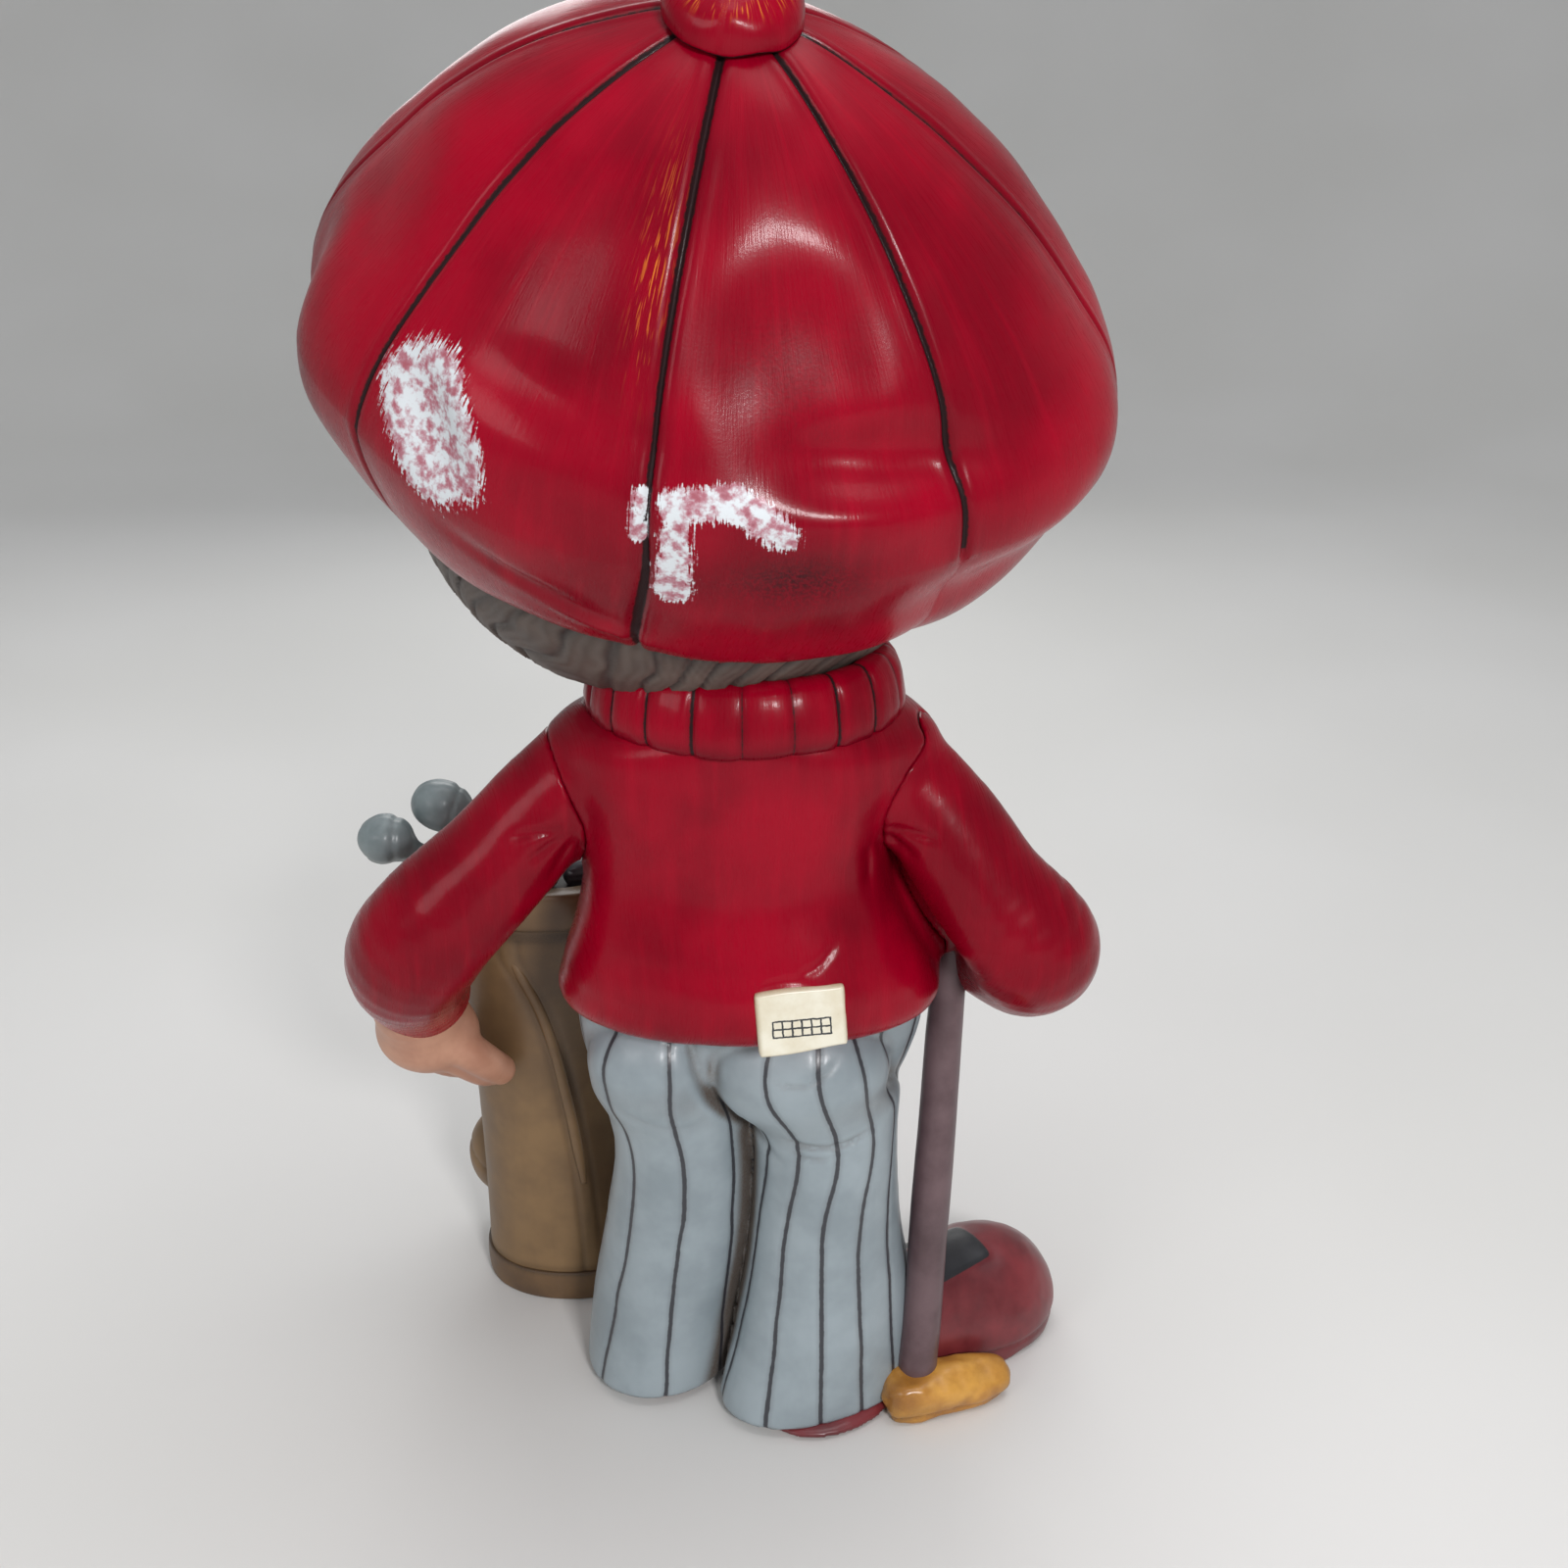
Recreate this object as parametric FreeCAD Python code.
"""Garden ornament: a slip-cast golfer with a floppy cap, a golf bag and a club, as separate castings.

Millimetres. +Z is up, the figure faces -Y, its left hand is on +X. The origin is on the surface it
stands on, under the middle of its outline. Inside this file everything is laid out about the body's
own upright axis, and moved to the origin when it is written.
"""

import FreeCAD, Part
import math
import os

from FreeCAD import Matrix, Placement, Rotation, Vector

# Driving dimensions ------------------------------------------------------------------------------
WALL = 5.0               # cast wall of every hollow casting
HEM_Z = 118.0            # lower edge of the sweater
SEAT_Z = 92.0            # where the legs leave the seat of the trousers
NECK_Z = 197.0           # top of the sweater, foot of the rolled collar
TROUSER_HEM_Z = 3.0      # trouser hems clear the floor by this much
VENT_R = 4.0             # holes between the hollows, so that they can dry and fire
POUR_R = 7.0             # pour hole under each foot and under the bag
TO_ORIGIN = Vector(-10.3, 9.1, 0.0)   # brings the middle of the outline over the origin

# Head and cap
HEAD_AT = Vector(13.5, -12.0, 243.5)
HEAD_HALF = Vector(61.5, 57.5, 49.0)  # half width, depth and height, hair included
HEAD_ROLL = -7.5                      # the head leans to its right
HAIR_THICK = 3.0
CAP_AT = Vector(7.1, 6.0, 280.7)
CAP_HALF_W = 86.0
CAP_HALF_D = 70.8
CAP_TOP = 72.4                        # crown above its widest ring
CAP_DROP = 40.0                       # rim below its widest ring
CAP_RIM_SHARE = 0.765                 # rim radius as a share of the widest
CAP_GORES = 8
CAP_TILT = 30.6                       # pushed back on the head
CAP_ROLL = -6.6
CAP_YAW = -10.0
CAP_SEAM_SINK = 0.012                 # seams lie below the gores by this share of the radius
BUTTON_R = 13.0
BUTTON_H = 9.5
PEAK_REACH = 30.0
PEAK_THICK = 4.0

# Golf bag
BAG_FOOT = Vector(53.0, -49.0, 0.0)
BAG_LEAN = Vector(3.0, 0.0, 0.0)      # how far the mouth stands out from above the foot
BAG_HALF_W = 25.0
BAG_HALF_D = 20.5
BAG_H = 132.0
BAG_CUFF_H = 11.0
BAG_BASE_H = 9.5

# Club
SHAFT_R = 5.4
SHAFT_FOOT = Vector(-44.5, 13.0, 9.0)
SHAFT_TOP = Vector(-51.5, -10.0, 132.0)

# Shoes: the sole runs from heel to toe
RIGHT_HEEL, RIGHT_TOE = Vector(-5.0, 17.0, 0.0), Vector(-83.0, -34.0, 0.0)
LEFT_HEEL, LEFT_TOE = Vector(27.0, 12.0, 0.0), Vector(7.0, -72.0, 0.0)
SHOE_HALF_W = 20.5

# Collar
COLLAR_RIBS = 20
COLLAR_GROOVE_R = 0.9

# Level ovals, each (height, x, y, half length, half width, superellipse power, turn of its length)
SWEATER_ROWS = [
    (HEM_Z, -0.6, 0.0, 44.0, 26.5, 2.2, 0),
    (HEM_Z + 3.5, -0.6, 0.0, 46.6, 30.5, 2.2, 0),
    (HEM_Z + 12, -0.2, 0.5, 45.4, 33.0, 2.2, 0),
    (HEM_Z + 24, 1.0, 0.5, 40.6, 31.0, 2.2, 0),
    (HEM_Z + 39, 2.4, 0.0, 36.8, 28.5, 2.2, 0),
    (HEM_Z + 54, 2.2, 0.0, 39.0, 28.5, 2.2, 0),
    (HEM_Z + 66, 0.6, 0.0, 43.5, 28.5, 2.2, 0),
    (HEM_Z + 73, 0.0, 0.0, 43.0, 28.5, 2.2, 0),
    (NECK_Z, 0.0, 0.0, 35.0, 28.5, 2.0, 0),
]
SEAT_ROWS = [
    (SEAT_Z - 8, 1.0, 0.0, 35.0, 19.0, 2.3, 0),
    (SEAT_Z, 0.6, 0.0, 39.5, 23.5, 2.3, 0),
    (SEAT_Z + 12, 0.0, 0.5, 43.5, 27.0, 2.3, 0),
    (SEAT_Z + 21, -0.5, 0.0, 44.2, 26.5, 2.2, 0),
    (HEM_Z + 3, -0.6, 0.0, 42.5, 25.0, 2.2, 0),
]
LEFT_LEG_ROWS = [
    (TROUSER_HEM_Z, 24.2, -8.5, 25.0, 20.6, 2.0, 74),
    (TROUSER_HEM_Z + 22, 22.2, -5.5, 21.5, 20.2, 2.0, 74),
    (TROUSER_HEM_Z + 50, 18.6, -2.5, 18.5, 19.2, 2.0, 74),
    (SEAT_Z - 16, 17.0, -1.0, 18.0, 18.6, 2.0, 74),
    (SEAT_Z + 4, 19.6, -0.5, 20.5, 20.5, 2.0, 74),
]
RIGHT_LEG_ROWS = [
    (TROUSER_HEM_Z, -21.0, 2.5, 32.5, 20.5, 2.0, 35),
    (TROUSER_HEM_Z + 22, -20.5, 3.0, 26.0, 20.0, 2.0, 35),
    (TROUSER_HEM_Z + 50, -20.0, 3.0, 20.0, 18.8, 2.0, 35),
    (SEAT_Z - 16, -19.6, 3.5, 18.6, 18.4, 2.0, 35),
    (SEAT_Z + 4, -18.8, 1.5, 20.2, 20.8, 2.0, 35),
]

# Points along each limb, from the shoulder down, with the radius there
LEFT_ARM = [
    (Vector(34, 2, 184), 12.0), (Vector(46, 4, 172), 13.2), (Vector(60, 7, 157), 14.3),
    (Vector(74, 9, 143), 15.6), (Vector(82, 4, 131), 16.0), (Vector(85, -7, 119), 14.4),
    (Vector(85, -17, 108), 12.2),
]
RIGHT_ARM = [
    (Vector(-34, 3, 182), 12.4), (Vector(-46, 6, 168), 13.4), (Vector(-57, 9, 152), 14.2),
    (Vector(-68, 9, 138), 16.0), (Vector(-69, 2, 130), 15.4), (Vector(-65, -6, 125), 13.0),
    (Vector(-60, -14, 122), 10.8),
]
HAND_SHARE = (0.62, 0.88, 1.0, 0.86, 0.45)   # width from wrist to finger tips

# Clubs in the bag: centre, half lengths, roll about Y
COVERS = {
    "driver_cover": (Vector(83.0, -50.0, 147.0), Vector(8.8, 7.4, 7.4), -18),
    "wood_cover": (Vector(97.0, -42.0, 141.0), Vector(7.8, 7.0, 7.0), -2),
    "hybrid_cover": (Vector(101.0, -54.0, 132.5), Vector(5.6, 4.6, 4.6), 14),
}
IRONS = {
    "long_iron": (Vector(56.4, -38, 132.5), Vector(5.7, 5.5, 4.6), -8),
    "short_iron": (Vector(45.0, -41, 131.5), Vector(5.3, 5.5, 4.2), 6),
}


# Shape helpers -----------------------------------------------------------------------------------
def closed_wire(points):
    curve = Part.BSplineCurve()
    curve.interpolate(points, PeriodicFlag=True)
    return Part.Wire([curve.toShape()])


def oval(x, y, z, rx, ry, power=2.0, turn=0.0, count=16):
    """A level superellipse."""
    points = []
    ct, st = math.cos(math.radians(turn)), math.sin(math.radians(turn))
    for k in range(count):
        a = 2 * math.pi * k / count
        c, s = math.cos(a), math.sin(a)
        reach = (abs(c) ** power + abs(s) ** power) ** (-1 / power)
        px, py = rx * reach * c, ry * reach * s
        points.append(Vector(x + px * ct - py * st, y + px * st + py * ct, z))
    return closed_wire(points)


def stack(rows, inset=0.0, floor=0.0):
    """A solid through level ovals. inset draws it in all round and floor lifts its lowest oval."""
    wires = []
    for k, (z, x, y, rx, ry, power, turn) in enumerate(rows):
        lift = floor if k == 0 else 0.0
        wires.append(oval(x, y, z + lift, rx - inset, ry - inset, power, turn))
    return Part.makeLoft(wires, True, False)


def tube(points, radii, flat=1.0, start_side=Vector(0, 1, 0)):
    """A solid along a polyline, its rings square to the path. flat squeezes the second half width."""
    wires = []
    last = len(points) - 1
    side = start_side
    for k, (at, radius) in enumerate(zip(points, radii)):
        ahead = (points[min(k + 1, last)] - points[max(k - 1, 0)]).normalize()
        side = (side - ahead * side.dot(ahead)).normalize()
        up = side.cross(ahead).normalize()
        ring = []
        for j in range(12):
            a = 2 * math.pi * j / 12
            ring.append(at + side * (radius * math.cos(a)) + up * (radius * flat * math.sin(a)))
        wires.append(closed_wire(ring))
    return Part.makeLoft(wires, True, False)


def ellipsoid(at, half, roll=0.0, turn=0.0):
    """half is the half lengths. roll is about Y and turn about Z, in degrees."""
    scale = Matrix()
    scale.scale(half.x, half.y, half.z)
    shape = Part.makeSphere(1.0).transformGeometry(scale)
    rotation = Rotation(Vector(0, 0, 1), turn).multiply(Rotation(Vector(0, 1, 0), roll))
    shape.Placement = Placement(at, rotation)
    return shape


def block(low, high):
    size = high - low
    return Part.makeBox(size.x, size.y, size.z, low)


def rod(start, end, radius):
    return Part.makeCylinder(radius, (end - start).Length, start, end - start)


def without(shape, *others):
    """The biggest solid left once the others are cut away."""
    for other in others:
        shape = shape.cut(other)
    return max(shape.Solids, key=lambda s: s.Volume)


# Clothes -----------------------------------------------------------------------------------------
def make_trousers():
    """Seat and both legs in one casting, open at the waist, with a pour hole in each hem."""
    outer = stack(SEAT_ROWS).fuse(stack(RIGHT_LEG_ROWS)).fuse(stack(LEFT_LEG_ROWS))
    seat_core = stack([(z + (4 if z == HEM_Z + 3 else 0), *row) for z, *row in SEAT_ROWS], WALL)
    shell = outer.cut(seat_core)
    for rows in (RIGHT_LEG_ROWS, LEFT_LEG_ROWS):
        shell = shell.cut(stack(rows, WALL, WALL))
    return outer, shell


def make_arm(path, core_count):
    """A sleeve and its core. The core starts inside the body and ends core_count points down."""
    points = [at for at, radius in path]
    radii = [radius for at, radius in path]
    core = tube(points[:core_count], [r - WALL for r in radii[:core_count]])
    inward = points[0] + (points[0] - points[1])
    return tube(points, radii), core, rod(inward, points[1], VENT_R)


def make_collar():
    """Rolled collar with upright ribs."""
    wires = [
        oval(0, 0, NECK_Z - 4, 35.6, 31.0),
        oval(0, 0, NECK_Z + 1, 36.4, 31.8),
        oval(0, 0, NECK_Z + 8, 35.2, 30.8),
        oval(0, 0, NECK_Z + 13, 32.6, 28.6),
    ]
    ring = Part.makeLoft(wires, True, False)
    bore = Part.makeLoft([oval(0, 0, NECK_Z - 5, 27, 24), oval(0, 0, NECK_Z + 14, 27, 24)], True)
    grooves = []
    for k in range(COLLAR_RIBS):
        a = 2 * math.pi * (k + 0.5) / COLLAR_RIBS
        foot = Vector(36.6 * math.cos(a), 32.0 * math.sin(a), NECK_Z - 4.5)
        grooves.append(Part.makeCylinder(COLLAR_GROOVE_R, 22, foot))
    return ring.cut(bore).cut(Part.makeCompound(grooves))


def shoe_ring(heel, toe, start, stop, half_width, z):
    """The shoe's outline at height z. start and stop are where it begins and ends along the sole."""
    outline = [(1.0, 0.0), (0.93, 0.62), (0.74, 1.0), (0.45, 0.76), (0.14, 0.62), (0.0, 0.0)]
    outline += [(along, -wide) for along, wide in reversed(outline[1:-1])]
    axis = toe - heel
    side = Vector(-axis.y, axis.x, 0).normalize()
    points = []
    for along, wide in outline:
        p = heel + axis * (start + (stop - start) * along) + side * (wide * half_width)
        points.append(Vector(p.x, p.y, z))
    return closed_wire(points)


def make_shoe(heel, toe, inset=0.0):
    """Outer shape of a shoe, or with an inset, its hollow."""
    rows = [(0.0, 0.02, 0.98, 0.94), (2.0, 0.0, 1.0, 1.0), (8.0, 0.01, 1.0, 1.0), (16.0, 0.03, 0.975, 0.95),
            (22.0, 0.05, 0.90, 0.84), (27.0, 0.06, 0.76, 0.68), (32.0, 0.08, 0.56, 0.50)]
    if inset:
        rows = [(inset, 0.40, 0.93, 0.72), (14.0, 0.42, 0.92, 0.72), (21.0, 0.44, 0.80, 0.55)]
    wires = [shoe_ring(heel, toe, a, b, w * SHOE_HALF_W, z) for z, a, b, w in rows]
    return Part.makeLoft(wires, True, False)


# Head and cap ------------------------------------------------------------------------------------
def make_head():
    """Skull, jaw and neck in one hollow casting, and its outside without the hollow."""
    inner = HEAD_HALF - Vector(HAIR_THICK, HAIR_THICK, HAIR_THICK)
    skull = ellipsoid(HEAD_AT, inner, HEAD_ROLL)
    jaw = ellipsoid(HEAD_AT + Vector(-1, -12, -13), Vector(46, 42, 38), HEAD_ROLL)
    neck = Part.makeCone(25, 22.5, 22, Vector(1, -1, NECK_Z - 1))
    nose = ellipsoid(HEAD_AT + Vector(-4, -54, -9), Vector(8.5, 9, 7.5))
    outer = skull.fuse(jaw).fuse(neck)
    core = ellipsoid(HEAD_AT, inner - Vector(WALL, WALL, WALL), HEAD_ROLL)
    throat = rod(Vector(1, -1, NECK_Z - 10), HEAD_AT, 16)
    crown_vent = rod(HEAD_AT, HEAD_AT + Vector(0, 0, 80), VENT_R)
    head = without(outer.fuse(nose), core, throat, crown_vent)
    return head, outer


def make_hair(outer):
    """The hair is a thick skin over the skull, cut away round the face and at the nape."""
    face = Part.makeCylinder(50, 90, Vector(HEAD_AT.x, -120, HEAD_AT.z - 18), Vector(0, 1, 0))
    below = block(Vector(-80, -90, 150), Vector(110, 90, NECK_Z + 4))
    return without(ellipsoid(HEAD_AT, HEAD_HALF, HEAD_ROLL), outer, face, below)


def crown_ring(step, inset):
    """A ring of the crown: step 0 at the button, 1 at the widest, 2 at the rim."""
    if step <= 1:
        share = math.sin(step * math.pi / 2)
        height = CAP_TOP * (1 - share ** 1.53) ** (1 / 1.53)
        rise = -0.7
    else:
        turn = (step - 1) * math.pi / 2
        share = CAP_RIM_SHARE + (1 - CAP_RIM_SHARE) * math.cos(turn) ** 1.24
        height = -CAP_DROP * math.sin(turn) ** 1.24
        rise = 1.4 * (step - 1) - 0.7
    points = []
    for k in range(CAP_GORES * 4):
        a = 2 * math.pi * k / (CAP_GORES * 4)
        swell = 1 - CAP_SEAM_SINK * (1 - abs(math.sin(a * CAP_GORES / 2)))
        points.append(Vector((CAP_HALF_W * share * swell - inset) * math.sin(a),
                             (CAP_HALF_D * share * swell - inset) * math.cos(a), height + inset * rise))
    return closed_wire(points)


def make_peak():
    """The visor: a crescent plate off the front of the rim, drooping a little."""
    rim_w, rim_d = CAP_HALF_W * CAP_RIM_SHARE, CAP_HALF_D * CAP_RIM_SHARE
    outline = oval(0, -10, 0, rim_w * 0.93, rim_d + PEAK_REACH - 10, 2.2)
    slab = Part.Face(outline).extrude(Vector(0, 0, PEAK_THICK))
    slab = slab.cut(block(Vector(-100, -rim_d * 0.42, -10), Vector(100, 100, 20)))
    slab = slab.makeFillet(PEAK_THICK * 0.42, [edge for edge in slab.Edges if edge.Length > 60])
    slab.rotate(Vector(0, -rim_d * 0.6, 0), Vector(1, 0, 0), 12)
    slab.translate(Vector(0, 0, -CAP_DROP + 1))
    return slab


def make_cap():
    """Crown, its hollow, button and peak, placed on the head."""
    steps = [0.06, 0.16, 0.28, 0.40, 0.52, 0.64, 0.76, 0.88, 1.0, 1.15, 1.35, 1.6, 1.85, 2.0]
    crown = Part.makeLoft([crown_ring(step, 0.0) for step in steps], True, True)
    core = Part.makeLoft([crown_ring(step, WALL) for step in steps[1:]], True, True)
    button = ellipsoid(Vector(0, 0, CAP_TOP - 1.5), Vector(BUTTON_R, BUTTON_R, BUTTON_H))
    peak = make_peak()
    turn = Rotation(Vector(0, 1, 0), CAP_ROLL)
    turn = turn.multiply(Rotation(Vector(1, 0, 0), -CAP_TILT)).multiply(Rotation(Vector(0, 0, 1), CAP_YAW))
    place = Placement(CAP_AT, turn)
    for shape in (crown, core, button, peak):
        shape.Placement = place.multiply(shape.Placement)
    return crown, core, button, peak


# Golf bag ----------------------------------------------------------------------------------------
def bag_ring(z, grow=0.0):
    at = BAG_FOOT + BAG_LEAN * (z / BAG_H)
    return oval(at.x, at.y, z, BAG_HALF_W + grow, BAG_HALF_D + grow, 2.2)


def band(low, high, grow):
    """A ring of leather round the bag, its edges eased."""
    return Part.makeLoft([bag_ring(low, grow - 0.8), bag_ring(low + 1.4, grow),
                          bag_ring(high - 1.4, grow), bag_ring(high, grow - 0.8)], True, False)


def make_bag():
    """Barrel outside, its hollow, cuff, base band, mouth disc and ball pocket."""
    body = Part.makeLoft([bag_ring(0, 0.3), bag_ring(BAG_H * 0.35, -0.8), bag_ring(BAG_H * 0.7, 0.4),
                          bag_ring(BAG_H - BAG_CUFF_H, 1.6), bag_ring(BAG_H - 1, 1.6)], True, False)
    core = Part.makeLoft([bag_ring(WALL, -WALL), bag_ring(BAG_H + 2, -WALL + 1)], True, False)
    cuff = band(BAG_H - BAG_CUFF_H, BAG_H, 3.4).cut(core)
    base = band(0, BAG_BASE_H, 1.9)
    mouth = block(Vector(0, -100, BAG_H - 9), Vector(100, 0, BAG_H - 3)).common(core)
    pocket = ellipsoid(BAG_FOOT + Vector(20, -10, 31), Vector(12, 12, 14))
    return body, core, cuff, base, mouth, pocket


def make_seam_rib():
    """The raised closing seam, which runs down the back of the barrel."""
    path = []
    for x, z in ((64, 112), (57.5, 98), (53.5, 84), (51, 70), (49, 56), (47.5, 42)):
        at = BAG_FOOT + BAG_LEAN * (z / BAG_H)
        across = abs((x - at.x) / BAG_HALF_W)
        path.append(Vector(x, at.y + BAG_HALF_D * (1 - across ** 2.2) ** (1 / 2.2) + 0.7, z))
    return tube(path, [1.3, 1.8, 2.0, 2.0, 1.8, 1.3])


def make_cover(at, half, roll):
    """A club head in its cover, with the neck that goes down into the bag."""
    mouth = BAG_FOOT + BAG_LEAN + Vector((at.x - 56) * 0.4, (at.y + 49) * 0.8, BAG_H - 5)
    return ellipsoid(at, half, roll).fuse(rod(mouth, at, 2.6))


def make_iron(at, half, roll):
    return ellipsoid(at, half, roll).fuse(rod(at - Vector(0, 1, 13), at, 3.0))


# Hands, club and card ----------------------------------------------------------------------------
def make_hand(wrist, palm, tips, width, thick):
    """A closed hand, from the wrist to the finger tips."""
    path = [wrist, (wrist + palm) * 0.5, palm, (palm + tips) * 0.5, tips]
    return tube(path, [width * share for share in HAND_SHARE], thick / width)


def make_club_head():
    head = ellipsoid(Vector(-52.5, 13.5, 5.9), Vector(18.5, 6.8, 6.3), 0, 17)
    return head.cut(block(Vector(-200, -200, -50), Vector(200, 200, 0)))


def make_card():
    """The scorecard, upright in the hip pocket, a thick slab against the sweater's back."""
    card = block(Vector(-23.5, 30.2, 121), Vector(-2.5, 33.4, 137.5))
    card = card.makeFillet(0.9, card.Edges)
    card.rotate(Vector(-13, 32, 129), Vector(0, 1, 0), 4)
    card.rotate(Vector(-13, 32, 129), Vector(0, 0, 1), 9)
    return card


# Assembly ----------------------------------------------------------------------------------------
def build():
    """Every casting by name. Where two meet, the later one is cut to sit on the earlier one."""
    sweater = stack(SWEATER_ROWS)
    sweater_core = stack(SWEATER_ROWS, WALL, 2.0).fuse(rod(Vector(0, 0, NECK_Z - 8), Vector(0, 0, NECK_Z + 4), 17))
    trousers, trousers_shell = make_trousers()
    bag, bag_core, cuff, base, mouth, ball_pocket = make_bag()
    head, head_outer = make_head()
    hair = make_hair(head_outer)
    head_and_hair = head_outer.fuse(ellipsoid(HEAD_AT, HEAD_HALF, HEAD_ROLL))
    crown, crown_core, button, peak = make_cap()
    left_arm, left_arm_core, left_arm_vent = make_arm(LEFT_ARM, 6)
    right_arm, right_arm_core, right_arm_vent = make_arm(RIGHT_ARM, 5)
    shaft = Part.makeCone(SHAFT_R, SHAFT_R * 0.86, (SHAFT_TOP - SHAFT_FOOT).Length, SHAFT_FOOT,
                          SHAFT_TOP - SHAFT_FOOT)
    club_head = make_club_head()
    card = make_card()

    parts = {}
    parts["sweater"] = without(sweater, sweater_core, trousers, left_arm_vent, right_arm_vent)
    parts["left_sleeve"] = without(left_arm, sweater, left_arm_core, left_arm_vent)
    parts["right_sleeve"] = without(right_arm, sweater, right_arm_core, right_arm_vent)
    parts["head"] = without(head, sweater)
    parts["hair"] = hair
    parts["rolled_collar"] = without(make_collar(), sweater, head_and_hair)
    parts["cap_crown"] = without(crown, crown_core, head_and_hair)
    parts["cap_button"] = without(button, crown)
    parts["cap_peak"] = without(peak, crown, head_and_hair)

    # each foot: a hollow shoe, with a pour hole up through sole and hem, and a vent to its toe
    shell = trousers_shell
    for name, heel, toe, rows in (("right_shoe", RIGHT_HEEL, RIGHT_TOE, RIGHT_LEG_ROWS),
                                  ("left_shoe", LEFT_HEEL, LEFT_TOE, LEFT_LEG_ROWS)):
        ankle = Vector(rows[0][1], rows[0][2], 0)
        pour = rod(ankle - Vector(0, 0, 2), ankle + Vector(0, 0, 20), POUR_R)
        vent = rod(ankle + Vector(0, 0, 13), heel + (toe - heel) * 0.72 + Vector(0, 0, 11), VENT_R)
        shoe = make_shoe(heel, toe)
        parts[name] = without(shoe, trousers, make_shoe(heel, toe, WALL), pour, vent, bag, base)
        shell = shell.cut(pour).cut(vent)
    parts["trousers"] = without(shell)

    pour = rod(BAG_FOOT - Vector(0, 0, 2), BAG_FOOT + Vector(0, 0, 20), POUR_R)
    parts["golf_bag"] = without(bag, bag_core, pour)
    parts["bag_cuff"] = without(cuff, bag)
    parts["bag_base_band"] = without(base, bag)
    parts["bag_mouth"] = mouth
    parts["bag_ball_pocket"] = without(ball_pocket, bag)
    parts["bag_seam_rib"] = without(make_seam_rib(), bag, cuff)
    for clubs, make in ((COVERS, make_cover), (IRONS, make_iron)):
        for name, club in clubs.items():
            parts[name] = without(make(*club), bag.cut(bag_core), cuff, mouth)

    left_hand = make_hand(Vector(86, -15, 111), Vector(85, -27, 95), Vector(70, -31, 85), 13.5, 9.0)
    right_hand = make_hand(Vector(-61, -12, 122.5), Vector(-54, -20, 120), Vector(-43, -27, 117), 10.5, 8.5)
    parts["left_hand"] = without(left_hand, left_arm, bag, cuff, parts["bag_seam_rib"])
    parts["right_hand"] = without(right_hand, right_arm, shaft, sweater, trousers)
    parts["club_head"] = without(club_head, trousers, make_shoe(RIGHT_HEEL, RIGHT_TOE))
    parts["club_shaft"] = without(shaft, right_arm, club_head, sweater, trousers, parts["right_shoe"])
    parts["scorecard"] = without(card, sweater, trousers)
    return parts


def main():
    os.makedirs("parts", exist_ok=True)
    for name, shape in build().items():
        shape = shape.copy()
        shape.translate(TO_ORIGIN)
        shape.exportStep(f"parts/{name}.step")


main()
